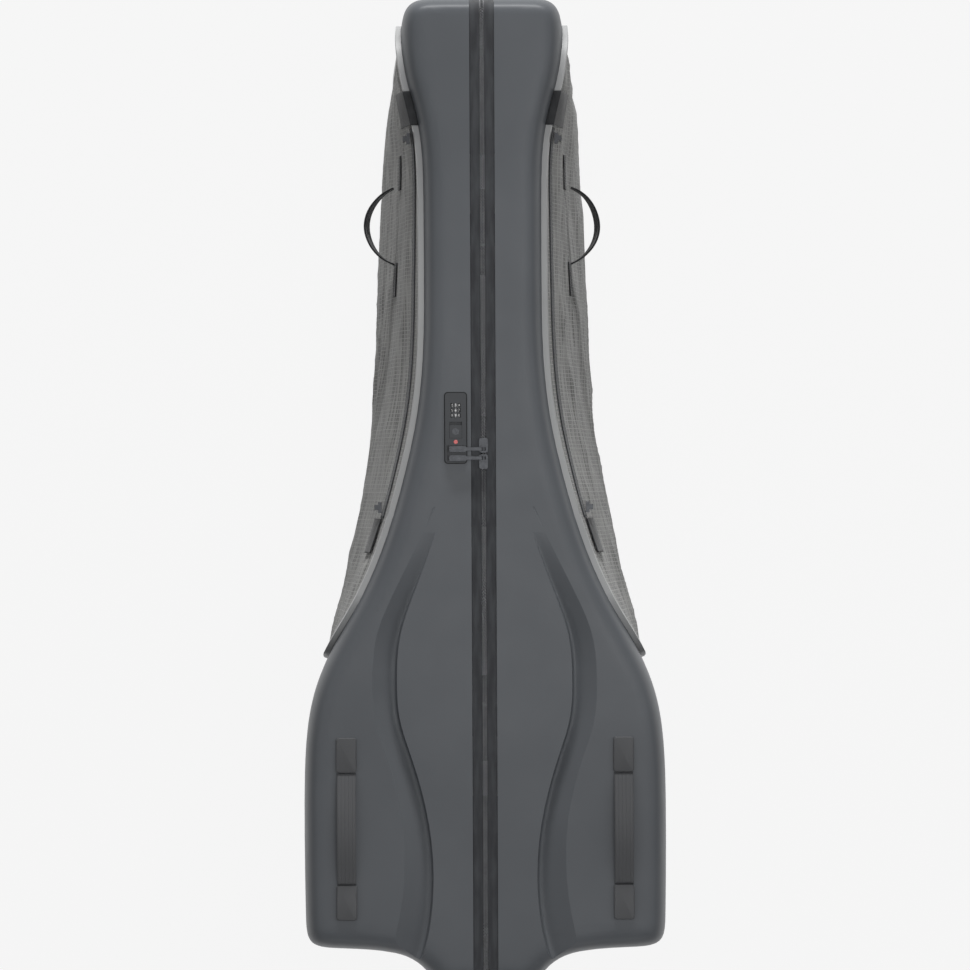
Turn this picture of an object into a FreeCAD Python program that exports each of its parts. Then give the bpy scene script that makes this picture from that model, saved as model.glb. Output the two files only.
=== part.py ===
"""Hard and soft bike travel case with a wide handlebar end, in millimetres.

X runs across the case, +Y towards the narrow wheeled end, +Z up. The origin is on the floor, under the
middle of the case. Two moulded half shells with fabric sides swing out from a base tray, and a zip along
the centre line, with a combination lock, closes them.
"""
import FreeCAD
import Part
import math
import os

from FreeCAD import Vector

# Overall sizes of the case
case_length = 1370.0
shell_top = 800.0
lobe_width = 504.0
neck_width = 170.0
rear_width = 226.0
nose_width = 132.0
base_width = 256.0
fabric_swell = 56.0
rim_height = 110.0

# Walls, rounds and clearances
shell_wall = 4.0
tray_wall = 4.0
fabric_wall = 7.0
top_round = 44.0
tray_round = 34.0
seat_gap = 0.3
rim_gap = 0.5
running_gap = 0.05
overrun = 20.0

# Fabric window in each side of the shell, and the trim lip that frames it
window_drop = 50.0
window_rear_inset = 40.0
window_front_inset = 480.0
window_rake = 55.0
window_corner = 70.0
lip_reach = 8.0
lip_band = 13.0

# Grooves between the centre spine and the two handlebar lobes
groove_depth = 13.0

# Main zip
zip_width = 34.0
zip_tape = 1.6
zip_recess = 1.0
teeth_width = 3.2
teeth_proud = 0.6
teeth_gap = 0.3

# Hinges along the base
hinge_offset = 6.0
hinge_rod_radius = 2.5
knuckle_radius = 5.0
knuckle_length = 40.0
knuckle_gap = 1.0
leaf_thickness = 2.4
leaf_height = 22.0
hinge_count = 4
hinge_pitch = 190.0
hinge_inset = 90.0
sill_depth = 16.0
sill_height = 15.0
sill_inset = 15.0

# Wheels and feet under the tray
tray_clearance = 24.0
wheel_radius = 38.0
wheel_width = 24.0
wheel_inset = 63.0
wheel_core_radius = 21.0
wheel_gap = 4.0
wheel_cheek = 8.0
housing_wall = 5.0
bearing_radius = 11.0
bearing_width = 7.0
axle_radius = 4.0
axle_head_radius = 7.5
axle_head_height = 3.0
tyre_round = 5.0
skid_width = 40.0
skid_length = 96.0
skid_round = 8.0
skid_edge_inset = 60.0
skid_inset = 125.0
rail_foot_width = 18.0
rail_foot_height = 10.0
rail_foot_edge_inset = 66.0
rail_foot_front_inset = 195.0
rail_foot_rear_inset = 140.0

# Bike stand inside the tray
stand_width = 60.0
stand_height = 22.0
stand_front_inset = 215.0
stand_rear_inset = 165.0
slot_width = 22.0
slot_depth = 16.0
tower_length = 46.0
tower_width = 40.0
tower_height = 96.0
tower_shoe_length = 132.0
tower_round = 10.0
tower_inset = 120.0
thru_axle_radius = 6.0
fork_axle_length = 100.0
rear_axle_length = 142.0
axle_drop = 16.0
knob_radius = 14.0
knob_height = 13.0
knob_lobe_radius = 4.0
knob_lobes = 6
pad_length = 170.0
pad_width = 72.0
pad_height = 42.0
pad_y = 30.0
pad_round = 9.0

# Strap handles on the two lobes
strap_width = 26.0
strap_thickness = 3.6
strap_length = 250.0
strap_rise = 13.0
strap_edge_inset = 62.0
strap_inset = 224.0
anchor_length = 48.0
anchor_height = 6.0
anchor_width = 28.0
anchor_round = 4.0

# Webbing carry handles on the fabric sides
grip_width = 22.0
grip_thickness = 3.0
grip_span = 108.0
grip_bow = 36.0
grip_inset = 269.0
grip_drop = 150.0
patch_length = 46.0
patch_thickness = 2.0

# Pocket zips along the top of the fabric sides
pocket_zip_height = 14.0
pocket_zip_drop = 12.0
pocket_zip_rear_inset = 140.0
pocket_zip_front_inset = 169.0
garage_length = 48.0
garage_height = 34.0
garage_drop = 14.0
garage_thickness = 4.0
hood_thickness = 9.0
hood_rise = 5.0
pocket_slider_length = 15.0
pocket_slider_height = 10.0
pocket_slider_depth = 5.0
pocket_pull_length = 30.0
pocket_pull_width = 7.0
pocket_pull_thickness = 2.4

# Zip sliders of the main zip and their pullers
slider_length = 20.0
slider_width = 12.0
slider_height = 5.0
slider_inset = 12.8
slider_gap = 2.4
slider_relief = 1.8
ear_height = 6.0
ear_thickness = 2.4
puller_pin_radius = 1.5
puller_barrel_radius = 3.2
puller_pitch = 12.4
puller_length = 47.0
puller_width = 8.0
puller_neck = 4.5
puller_thickness = 3.0
puller_round = 2.0

# Combination lock beside the zip
lock_width = 29.0
lock_length = 96.0
lock_plate = 5.0
lock_depth = 17.0
lock_inset = 6.5
lock_y = 88.0
lock_flange = 3.0
lock_round = 4.0
dial_radius = 8.2
dial_width = 4.8
dial_pitch = 7.0
dial_count = 3
dial_inset = 24.0
dial_window = 14.0
dial_proud = 0.6
dial_pin_radius = 1.5
dial_room = 0.5
dial_ribs = 10
dial_rib_radius = 0.7
button_width = 17.5
button_length = 18.5
button_travel = 4.0
button_inset = 53.0
button_depth = 7.0
key_radius = 4.6
key_slot_width = 1.4
key_slot_length = 5.6
key_slot_depth = 2.0
pull_recess_depth = 3.8
pull_recess_length = 22.0
pull_recess_wall = 2.0
light_radius = 2.8
light_depth = 1.5

# Shapes of the outlines, as shares of the sizes they follow
rear_shares = [(1.0, 0.0), (1.0, 0.42), (1.0, 0.9), (0.955, 1.0), (0.9, 1.005), (0.84, 0.98)]
flare_shares = [
    (0.775, 0.075), (0.7, 0.006), (0.585, 0.0), (0.44, 0.0), (0.3, 0.0), (0.165, 0.045),
    (0.045, 0.155), (-0.075, 0.29), (-0.19, 0.475), (-0.295, 0.725), (-0.395, 0.92), (-0.5, 0.99),
]
lobe_shares = [(-0.63, 1.0), (-0.76, 0.998), (-0.86, 0.994), (-0.92, 0.99), (-0.923, 0.8),
               (-0.926, 0.6), (-0.936, 0.43)]
nose_shares = [(-0.966, 1.25), (-1.0, 1.0), (-1.0, 0.45), (-1.0, 0.0)]
base_rear_shares = [(0.99, 0.0), (0.99, 0.4), (0.985, 0.8), (0.955, 1.0), (0.9, 1.0), (0.84, 1.0)]
base_front_shares = [
    (-0.63, 1.0), (-0.75, 1.0), (-0.83, 0.98), (-0.885, 0.91), (-0.925, 0.8), (-0.95, 0.66),
    (-0.972, 0.5), (-0.984, 0.36), (-0.99, 0.22), (-0.994, 0.1), (-0.994, 0.0),
]
swell_shares = [0.0, 0.0, 0.0, 0.0, 0.04, 0.26, 0.5, 0.63, 0.72, 0.87, 0.97, 1.0, 0.96, 0.88, 0.66, 0.26, 0.0]
level_shares = [(0.0, 0.0, 0.0), (0.1, 0.02, 0.34), (0.28, 0.3, 0.82), (0.45, 0.74, 1.0), (0.6, 1.0, 1.0),
                (0.78, 1.0, 0.66)]
round_swell_share = 0.08
shoulder_shares = [0.3, 0.6, 1.0]
round_shares = [0.0, 0.45, 1.0]
groove_shares = [
    (-0.03, -0.064, 0.05, -0.2), (-0.1, 0.022, 0.08, 0.05), (-0.2, 0.157, 0.12, 0.6),
    (-0.285, 0.282, 0.135, 0.95), (-0.37, 0.293, 0.14, 1.0), (-0.455, 0.289, 0.14, 1.0),
    (-0.535, 0.174, 0.14, 1.0), (-0.63, 0.076, 0.14, 1.0), (-0.73, 0.019, 0.16, 1.0),
    (-0.86, 0.03, 0.18, 1.0), (-0.95, 0.12, 0.2, 1.0), (-1.04, 0.3, 0.2, 1.0),
]
groove_profile_shares = [(0.0, -0.35), (0.05, -1.2), (0.35, -0.9), (0.72, -0.3), (1.0, 0.02), (1.35, 0.6)]

# Values worked out from the sizes above
half_length = case_length / 2
lobe_half = lobe_width / 2
neck_half = neck_width / 2
rear_half = rear_width / 2
nose_half = nose_width / 2
base_half = base_width / 2
shell_bottom = rim_height + rim_gap
zip_half = zip_width / 2
hinge_x = base_half + hinge_offset
window_top = shell_top - window_drop
window_rear = half_length - window_rear_inset
window_front = window_front_inset - half_length
lip_top = window_top + lip_band
sill_front = window_front - window_rake + sill_inset
sill_rear = window_rear - window_rake
hinge_rear = sill_rear - hinge_inset
wheel_y = half_length - wheel_inset
skid_x = base_half - skid_edge_inset
skid_y = skid_inset - half_length
rail_foot_x = base_half - rail_foot_edge_inset
rail_foot_front = rail_foot_front_inset - half_length
rail_foot_rear = half_length - rail_foot_rear_inset
stand_front = stand_front_inset - half_length
stand_rear = half_length - stand_rear_inset
fork_tower_y = stand_front + tower_inset
rear_tower_y = stand_rear - tower_inset
strap_x = lobe_half - strap_edge_inset
strap_y = strap_inset - half_length
grip_y = window_rear - grip_inset
grip_z = window_top - grip_drop
pocket_zip_rear = window_rear - pocket_zip_rear_inset
pocket_zip_front = window_front + pocket_zip_front_inset
lock_x = -(zip_half + lock_inset + lock_width / 2)
lock_front = lock_y - lock_length / 2
lock_rear = lock_y + lock_length / 2
slider_middle_y = lock_front + slider_inset
dial_y = lock_rear - dial_inset
button_y = lock_rear - button_inset


def save(name, *solids):
    """Writes one node from its solids and prints its size."""
    shape = solids[0] if len(solids) == 1 else Part.makeCompound(solids)
    shape.exportStep(os.path.join("parts", name + ".step"))
    print(name, len(shape.Solids), "valid" if shape.isValid() else "NOT VALID", round(shape.Volume))


def mirrored(shape):
    """The same shape on the other side of the centre line."""
    return shape.mirror(Vector(), Vector(1, 0, 0))


def save_pair(name, *solids):
    """Writes a right-hand node and its left-hand mirror."""
    save("right_" + name, *solids)
    save("left_" + name, *[mirrored(solid) for solid in solids])


def block(x, y, z):
    """A box between two limits on each axis."""
    return Part.makeBox(x[1] - x[0], y[1] - y[0], z[1] - z[0], Vector(x[0], y[0], z[0]))


def centred(middle, size):
    """The two limits of a length about its middle."""
    return (middle - size / 2, middle + size / 2)


def rounded(shape, radius, direction):
    """Rounds the straight edges of a block that run along one direction."""
    edges = [e for e in shape.Edges if abs(e.tangentAt(e.FirstParameter).dot(direction)) > 0.99]
    return shape.makeFillet(radius, edges)


def rod(radius, start, end):
    """A round bar between two points."""
    return Part.makeCylinder(radius, (end - start).Length, start, end - start)


def along(share):
    """A place along the case, as a share of its half length."""
    return share * half_length


# Plan outlines, from the middle of the rear end round the right side to the middle of the nose
plan_top = [(along(y), w * rear_half) for y, w in rear_shares]
plan_top += [(along(y), neck_half + w * (lobe_half - neck_half)) for y, w in flare_shares]
plan_top += [(along(y), w * lobe_half) for y, w in lobe_shares]
plan_top += [(along(y), w * nose_half) for y, w in nose_shares]
plan_base = [(along(y), w * base_half) for y, w in base_rear_shares]
plan_base += [(along(y), base_half) for y, w in flare_shares]
plan_base += [(along(y), w * base_half) for y, w in base_front_shares]


def blended(first, second, share):
    """An outline part of the way from one outline to another."""
    return [(a[0] + share * (b[0] - a[0]), a[1] + share * (b[1] - a[1])) for a, b in zip(first, second)]


def ring(outline, grow, z):
    """Control points of a closed plan curve, moved outwards; points that cross by over a wall meet instead."""
    right = [Vector(w, y, z) for y, w in outline]
    points = right + [Vector(-p.x, p.y, z) for p in reversed(right[1:-1])]
    moved = []
    for i, point in enumerate(points):
        before = (point - points[i - 1]).normalize()
        after = (points[(i + 1) % len(points)] - point).normalize()
        normal_before = Vector(-before.y, before.x, 0)
        normal_after = Vector(-after.y, after.x, 0)
        middle = (normal_before + normal_after).normalize()
        moved.append(point + middle * (grow / max(middle.dot(normal_after), math.cos(math.pi / 3))))
    for i, point in enumerate(points):
        follows = (i + 1) % len(points)
        edge = (points[follows] - point).normalize()
        if (moved[follows] - moved[i]).dot(edge) < -shell_wall:
            meeting = (moved[i] + moved[follows]) / 2
            moved[i] = meeting - edge * running_gap
            moved[follows] = meeting + edge * running_gap
    return moved


def skin(rings):
    """A closed solid with a smooth side through rings of control points and flat ends."""
    count = len(rings[0])
    levels = len(rings)
    poles = [[level[i] for level in rings] for i in range(count)]
    surface = Part.BSplineSurface()
    surface.buildFromPolesMultsKnots(
        poles, [1] * (count + 1), [4] + [1] * (levels - 4) + [4],
        [float(k) for k in range(count + 1)], [float(k) for k in range(levels - 2)], True, False, 3, 3)
    side = surface.toShape()
    caps = []
    for edge in side.Edges:
        box = edge.BoundBox
        if edge.isClosed() and min(box.YLength, box.ZLength) < running_gap:
            caps.append(Part.Face(Part.Wire([edge])))
    shell = Part.makeCompound([side] + caps)
    shell.sewShape()
    solid = Part.Solid(shell.Shells[0])
    if solid.Volume < 0:
        solid.reverse()
    return solid


def shell_body(grow, lower=0.0, swell=0.0):
    """The outer form of the case, grown by an even distance, with its sides swollen for the fabric."""
    rise = shell_top - shell_bottom
    top = shell_top + grow
    corner = top_round + grow
    rings = []
    for height, share, swell_share in level_shares:
        z = shell_bottom + height * rise - (lower if height == 0 else 0)
        plan = swollen(blended(plan_base, plan_top, share), swell * swell_share)
        rings.append(ring(plan, grow, z))
    rings.append(ring(swollen(plan_top, swell * round_swell_share), grow, top - corner))
    for share in shoulder_shares:
        rings.append(ring(plan_top, grow - share * corner, top))
    return skin(rings)


def swollen(outline, swell):
    """An outline with its sides pushed out where the fabric swells."""
    pushes = swell_shares + [0.0] * (len(outline) - len(swell_shares))
    return [(y, w + push * swell) for (y, w), push in zip(outline, pushes)]


def fabric_body(grow):
    """The outer form of the soft sides, which swell over the wheel pockets."""
    return shell_body(grow, 0.0, fabric_swell)


def tray_body(grow, bottom, top):
    """The outer or inner form of the base tray."""
    corner = tray_round + grow
    rings = []
    for share in reversed(round_shares):
        rings.append(ring(plan_base, grow - share * corner, bottom))
    rings.append(ring(plan_base, grow, bottom + corner))
    rings.append(ring(plan_base, grow, top))
    return skin(rings)


def window(margin):
    """The prism that opens the right side of the shell, grown by a margin."""
    low = shell_bottom - overrun
    drop = window_top - low
    corners = [
        (window_front - margin - window_rake, low), (window_front - margin, window_top + margin),
        (window_rear + margin, window_top + margin), (window_rear + margin - window_rake, low),
    ]
    points = [Vector(zip_half + overrun, y, z) for y, z in corners]
    face = Part.Face(Part.makePolygon(points + points[:1]))
    prism = face.extrude(Vector(lobe_width, 0, 0))
    tops = [e for e in prism.Edges if e.BoundBox.ZMin > low + drop / 2 and e.BoundBox.XLength > lobe_half]
    return prism.makeFillet(window_corner + margin, tops)


def groove(wall):
    """The cutter for the right-hand groove, larger by a wall for the inner face of the shell."""
    sections = []
    face = shell_top - wall
    over = shell_top + overrun
    for y_share, inner, wide, deep in groove_shares:
        y = along(y_share)
        x = nose_half + inner * (lobe_half - nose_half) - wall
        width = wide * lobe_half + wall
        depth = deep * groove_depth
        points = [Vector(x, y, over), Vector(x, y, (face + over) / 2)]
        for across, up in groove_profile_shares:
            points.append(Vector(x + across * width, y, face + up * depth))
        points.append(Vector(points[-1].x, y, over))
        sections.append(points)
    return skin(sections)


def fabric_x(y, z):
    """How far out the fabric side stands at one place."""
    line = Part.makeLine(Vector(zip_half, y, z), Vector(lobe_width, y, z))
    return fabric_outer.common(line).BoundBox.XMax


def on_fabric(low, high, y, z):
    """A flat piece sewn on the right-hand fabric, between two heights above its surface."""
    return fabric_body(high).cut(fabric_body(low)).common(block((zip_half, lobe_width), y, z))


def build_tray():
    """The moulded tub that carries everything, with room for the wheel housings."""
    outer = tray_body(0.0, tray_clearance, rim_height)
    inner = tray_body(-tray_wall, tray_clearance + tray_wall, rim_height + overrun)
    tray = outer.cut(inner)
    pocket = housing_block(seat_gap)
    return tray.cut(pocket).cut(mirrored(pocket))


def housing_block(margin):
    """The block that a wheel housing is cut from."""
    inner = base_half - wheel_width - wheel_cheek
    reach = wheel_radius + wheel_gap + housing_wall + margin
    x = (inner - margin, base_half + margin)
    arch = Part.makeCylinder(reach, x[1] - x[0], Vector(x[0], wheel_y, wheel_radius), Vector(1, 0, 0))
    legs = block(x, centred(wheel_y, 2 * reach), (tray_clearance - margin, wheel_radius))
    low = block(x, centred(wheel_y, 2 * reach), (-wheel_radius, tray_clearance - margin))
    return arch.fuse(legs).cut(low)


def wheel_rod(radius, start, end):
    """A round bar on the axis of the right-hand wheel."""
    return rod(radius, Vector(start, wheel_y, wheel_radius), Vector(end, wheel_y, wheel_radius))


def build_wheels():
    """Two rear wheels with bearings, axles and housings."""
    inner = base_half - wheel_width - wheel_cheek
    cavity_x = inner + wheel_cheek
    start = cavity_x + wheel_gap
    end = start + wheel_width
    cavity_radius = wheel_radius + wheel_gap
    cavity = wheel_rod(cavity_radius, cavity_x, lobe_width)
    below = block((cavity_x, lobe_width), centred(wheel_y, 2 * cavity_radius), (-overrun, wheel_radius))
    bore = wheel_rod(axle_radius + running_gap, zip_half, lobe_width)
    spacer = wheel_rod(axle_radius + tray_wall, cavity_x - running_gap, start - seat_gap)
    housing = housing_block(0.0).cut(cavity).cut(below).fuse(spacer).cut(bore)
    save("wheel_housings", housing, mirrored(housing))

    tyre = wheel_rod(wheel_radius, start, end)
    tyre = tyre.makeFillet(tyre_round, [e for e in tyre.Edges if e.Curve.TypeId == "Part::GeomCircle"])
    core = wheel_rod(wheel_core_radius, start, end)
    save_pair("wheel_tyre", tyre.cut(core))
    core = core.cut(wheel_rod(axle_radius + seat_gap, zip_half, lobe_width))
    bearings = []
    for place in (start, end - bearing_width):
        core = core.cut(wheel_rod(bearing_radius + running_gap, place, place + bearing_width))
        bearings.append(wheel_rod(bearing_radius, place, place + bearing_width).cut(bore))
    save_pair("wheel_core", core)
    save("wheel_bearings", *bearings, *[mirrored(bearing) for bearing in bearings])

    head = inner - axle_head_height - running_gap
    tip = end + seat_gap
    axle = wheel_rod(axle_radius, head, tip)
    for place in (head, tip):
        axle = axle.fuse(wheel_rod(axle_head_radius, place, place + axle_head_height))
    save("wheel_axles", axle, mirrored(axle))


def build_feet():
    """Front skids that the case stands on, and glide rails along the bottom of the tray."""
    skid = block(centred(skid_x, skid_width), centred(skid_y, skid_length), (0.0, tray_clearance))
    skid = rounded(skid, skid_round, Vector(0, 0, 1))
    save("front_skids", skid, mirrored(skid))
    bottom = tray_clearance - rail_foot_height
    run = (rail_foot_front, rail_foot_rear)
    rail = block(centred(rail_foot_x, rail_foot_width), run, (bottom, tray_clearance))
    low_edges = [e for e in rail.Edges if e.BoundBox.ZMax < bottom + running_gap]
    rail = rail.makeFillet(rail_foot_height / 2, low_edges)
    save("glide_rails", rail, mirrored(rail))


def build_stand():
    """The aluminium rail in the tray and the two sliding axle towers that hold a bike."""
    floor = tray_clearance + tray_wall
    top = floor + stand_height
    rail = block(centred(0.0, stand_width), (stand_front, stand_rear), (floor, top))
    run = (stand_front - overrun, stand_rear + overrun)
    slot = block(centred(0.0, slot_width), run, (top - slot_depth, top + overrun))
    save("stand_rail", rail.cut(slot))
    pad = block(centred(0.0, pad_width), centred(pad_y, pad_length), (top, top + pad_height))
    save("frame_rest_pad", rounded(pad, pad_round, Vector(0, 0, 1)))
    build_tower("fork", fork_tower_y, fork_axle_length, 1, top)
    build_tower("rear", rear_tower_y, rear_axle_length, -1, top)


def build_tower(name, y, length, side, top):
    """One tower with its shoe in the rail, its axle and its clamping knob."""
    low = top - slot_depth + seat_gap
    shoe_width = slot_width - 2 * seat_gap
    shoe = block(centred(0.0, shoe_width), centred(y, tower_shoe_length), (low, top + seat_gap))
    post = block(centred(0.0, tower_width), centred(y, tower_length), (top + seat_gap, top + tower_height))
    post = rounded(post, tower_round, Vector(1, 0, 0))
    axle_z = top + tower_height - axle_drop
    start = Vector(-length / 2, y, axle_z)
    end = Vector(length / 2, y, axle_z)
    screw_y = y + side * (tower_length / 2 + (tower_shoe_length - tower_length) / 4)
    screw_low = Vector(0, screw_y, top - slot_depth / 2)
    tower = shoe.fuse(post).cut(rod(thru_axle_radius + running_gap, start, end))
    hole_low = screw_low - Vector(0, 0, seat_gap)
    screw_hole = rod(axle_radius + running_gap, hole_low, Vector(0, screw_y, top + overrun))
    save(name + "_tower", tower.cut(screw_hole))
    save(name + "_axle", rod(thru_axle_radius, start, end))

    low_face = Vector(0, screw_y, top + 2 * seat_gap)
    high_face = low_face + Vector(0, 0, knob_height)
    knob = rod(knob_radius - knob_lobe_radius, low_face, high_face)
    for step in range(knob_lobes):
        turn = 2 * math.pi * step / knob_lobes
        reach = Vector(math.cos(turn), math.sin(turn), 0) * (knob_radius - knob_lobe_radius)
        knob = knob.fuse(rod(knob_lobe_radius, low_face + reach, high_face + reach))
    save(name + "_tower_knob", knob.fuse(rod(axle_radius, screw_low, high_face)).removeSplitter())


def build_hinges():
    """The sill bars under the fabric, and the leaves and rods that hinge them to the tray."""
    sill_z = (shell_bottom, shell_bottom + sill_height)
    sill = block((base_half - sill_depth, base_half), (sill_front, sill_rear), sill_z)
    pin_end = hinge_rear + knuckle_length
    pin_start = hinge_rear - (hinge_count - 1) * hinge_pitch - 2 * knuckle_length
    pin = rod(hinge_rod_radius, Vector(hinge_x, pin_start, rim_height), Vector(hinge_x, pin_end, rim_height))
    save("hinge_rods", pin, mirrored(pin))
    leaves = []
    inner = base_half + seat_gap
    for step in range(hinge_count):
        y = hinge_rear - step * hinge_pitch
        leaf = hinge_leaf(inner, (y, y + knuckle_length), (rim_height - leaf_height, rim_height))
        leaves += [leaf, mirrored(leaf)]
        below = (y - knuckle_gap - knuckle_length, y - knuckle_gap)
        sill = sill.fuse(hinge_leaf(base_half, below, sill_z))
    save("base_hinge_leaves", *leaves)
    save_pair("sill", sill.removeSplitter())


def hinge_leaf(inner, y, z):
    """A leaf plate with its knuckle round the hinge rod."""
    plate = block((inner, inner + leaf_thickness), y, z)
    start = Vector(hinge_x, y[0], rim_height)
    end = Vector(hinge_x, y[1], rim_height)
    knuckle = rod(knuckle_radius, start, end)
    return plate.fuse(knuckle).cut(rod(hinge_rod_radius + running_gap, start, end))


def build_shells():
    """The two moulded half shells, the trim lips and the fabric sides."""
    outer = shell_body(0.0)
    inner = shell_body(-shell_wall, overrun)
    shell = outer.cut(groove(0.0)).cut(inner.cut(groove(shell_wall)))
    right = shell.common(block((zip_half, lobe_width), (-case_length, case_length), (0.0, 2 * shell_top)))
    right = right.cut(window(0.0))
    save("right_shell", right)
    left = mirrored(right)
    save("left_shell", left.cut(lock_block(seat_gap)))

    rim = shell_body(lip_reach).cut(shell_body(seat_gap))
    lip = rim.common(window(lip_band).cut(window(0.0)))
    save_pair("trim_lip", lip)

    low = shell_bottom + sill_height + seat_gap
    side = fabric_outer.cut(fabric_body(-fabric_wall)).common(window(-2 * seat_gap))
    side = side.common(block((zip_half, lobe_width), (-case_length, case_length), (low, shell_top)))
    save_pair("fabric_side", side)


def build_zip():
    """The main zip: a tape and a row of teeth on each half, following the shell over its ends."""
    band = shell_body(-zip_recess).cut(shell_body(-zip_recess - zip_tape, overrun))
    whole = ((-case_length, case_length), (0.0, 2 * shell_top))
    save_pair("zip_tape", band.common(block((teeth_width + teeth_gap, zip_half - seat_gap), *whole)))
    depth = zip_recess + zip_tape + teeth_proud
    chain = shell_body(teeth_proud - zip_recess).cut(shell_body(-depth, overrun))
    save_pair("zip_teeth", chain.common(block((teeth_gap / 2, teeth_width), *whole)))


def build_strap_handles():
    """The bowed strap handles on the lobes, with the caps that hold their ends."""
    x = centred(strap_x, strap_width)
    anchors = []
    for side in (-1, 1):
        y = centred(strap_y + side * (strap_length - anchor_length) / 2, anchor_length)
        cap = block(centred(strap_x, anchor_width), y, (shell_top, shell_top + anchor_height))
        anchors.append(rounded(cap, anchor_round, Vector(0, 0, 1)))
    save_pair("strap_anchors", *anchors)
    half = strap_length / 2 - anchor_length - seat_gap
    base = shell_top + seat_gap
    wires = []
    for lift in (0.0, strap_thickness):
        wires.append(Part.Arc(
            Vector(x[0], strap_y - half, base + lift), Vector(x[0], strap_y, base + strap_rise + lift),
            Vector(x[0], strap_y + half, base + lift)).toShape())
    ends = []
    for side in (-1, 1):
        y = strap_y + side * half
        ends.append(Part.makeLine(Vector(x[0], y, base), Vector(x[0], y, base + strap_thickness)))
    face = Part.Face(Part.Wire(Part.__sortEdges__(wires + ends)))
    save_pair("strap_handle", face.extrude(Vector(strap_width, 0, 0)))


def build_carry_handles():
    """The webbing grips on the fabric sides and the patches that hold them."""
    z = centred(grip_z, grip_width)
    ends = [grip_y - grip_span / 2, grip_y + grip_span / 2]
    seat = max(fabric_x(y, height) for y in ends for height in z) + patch_thickness + 2 * seat_gap
    low = Vector(seat, ends[0], z[0])
    high = Vector(seat, ends[1], z[0])
    inner = Part.Arc(low, Vector(seat + grip_bow, grip_y, z[0]), high)
    outside = Vector(0, grip_thickness, 0)
    outer = Part.Arc(low - outside, Vector(seat + grip_bow + grip_thickness, grip_y, z[0]), high + outside)
    ends_cut = [Part.makeLine(low, low - outside), Part.makeLine(high, high + outside)]
    face = Part.Face(Part.Wire(Part.__sortEdges__([inner.toShape(), outer.toShape()] + ends_cut)))
    save_pair("carry_handle", face.extrude(Vector(0, 0, grip_width)))
    patches = []
    for side, y in zip((-1, 1), ends):
        reach = sorted((y - side * grip_thickness, y + side * patch_length))
        patches.append(on_fabric(seat_gap, seat_gap + patch_thickness, reach, z))
    save_pair("handle_patches", *patches)


def build_pocket_zips():
    """The zips of the wheel pockets, their end flaps and their sliders."""
    top = window_top - pocket_zip_drop
    z = (top - pocket_zip_height, top)
    tape = on_fabric(seat_gap, seat_gap + zip_tape, (pocket_zip_front, pocket_zip_rear), z)
    save_pair("pocket_zip", tape)
    above = seat_gap + zip_tape + seat_gap
    flap_y = (pocket_zip_front - garage_length, pocket_zip_front)
    flap_z = (window_top - garage_drop - garage_height, window_top - garage_drop)
    flap = on_fabric(seat_gap, seat_gap + garage_thickness, flap_y, flap_z)
    save_pair("zip_garages", flap, build_hood(flap_z[0]))
    for name, y, side in (("rear", pocket_zip_rear, -1), ("front", pocket_zip_front, 1)):
        span = sorted((y + side * pocket_slider_length / 2, y + side * 3 * pocket_slider_length / 2))
        middle_z = (z[0] + z[1]) / 2
        heights = centred(middle_z, pocket_slider_height)
        seat = max(fabric_x(place, height) for place in span for height in heights) + above
        body = block((seat, seat + pocket_slider_depth), span, heights)
        outer = (seat + pocket_slider_depth - pocket_pull_thickness, seat + pocket_slider_depth)
        pull_y = centred((span[0] + span[1]) / 2, pocket_pull_width)
        lift = (outer[0] + pocket_slider_depth, outer[1] + pocket_slider_depth)
        pull = block(lift, pull_y, (middle_z - pocket_pull_length, middle_z + pocket_pull_thickness))
        link = block((outer[0], lift[1]), pull_y, centred(middle_z, 2 * pocket_pull_thickness))
        save_pair(name + "_pocket_slider", body.fuse(pull).fuse(link).removeSplitter())


def build_hood(low):
    """The flap over the rear end of a pocket zip, which lies on the fabric and hooks over the trim lip."""
    across = (zip_half, lobe_width)
    run = (pocket_zip_rear + seat_gap, pocket_zip_rear + garage_length)
    hood = fabric_body(hood_thickness).common(block(across, run, (low, lip_top + hood_rise)))
    hood = hood.cut(fabric_body(seat_gap).common(block(across, run, (low, window_top))))
    hood = hood.cut(shell_body(lip_reach + seat_gap).common(block(across, run, (low, lip_top + seat_gap))))
    return hood.cut(shell_body(seat_gap))


def build_main_sliders():
    """The two sliders of the main zip and the pullers that reach over the lock."""
    seat = shell_top + teeth_proud - zip_recess + seat_gap
    top = seat + slider_height
    pin_z = top + ear_height / 2
    gap = puller_neck + 2 * seat_gap
    for name, side in (("front", -1), ("rear", 1)):
        y = slider_middle_y + side * (slider_gap + slider_length) / 2
        pull_y = slider_middle_y + side * puller_pitch / 2
        body = block(centred(0.0, slider_width), centred(y, slider_length), (seat, top))
        body = rounded(body, slider_width / 4, Vector(0, 0, 1))
        relief_z = (seat - overrun, seat + slider_relief)
        body = body.cut(block((0.0, slider_width), centred(y, 2 * slider_length), relief_z))
        for hand in (-1, 1):
            ear_y = centred(pull_y + hand * (gap + ear_thickness) / 2, ear_thickness)
            body = body.fuse(block(centred(0.0, 2 * puller_barrel_radius), ear_y, (top, top + ear_height)))
        reach = gap / 2 + ear_thickness
        pin = rod(puller_pin_radius, Vector(0, pull_y - reach, pin_z), Vector(0, pull_y + reach, pin_z))
        save(name + "_zip_slider", body.fuse(pin).removeSplitter())
        save(name + "_zip_puller", build_puller(pull_y, pin_z))


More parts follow.
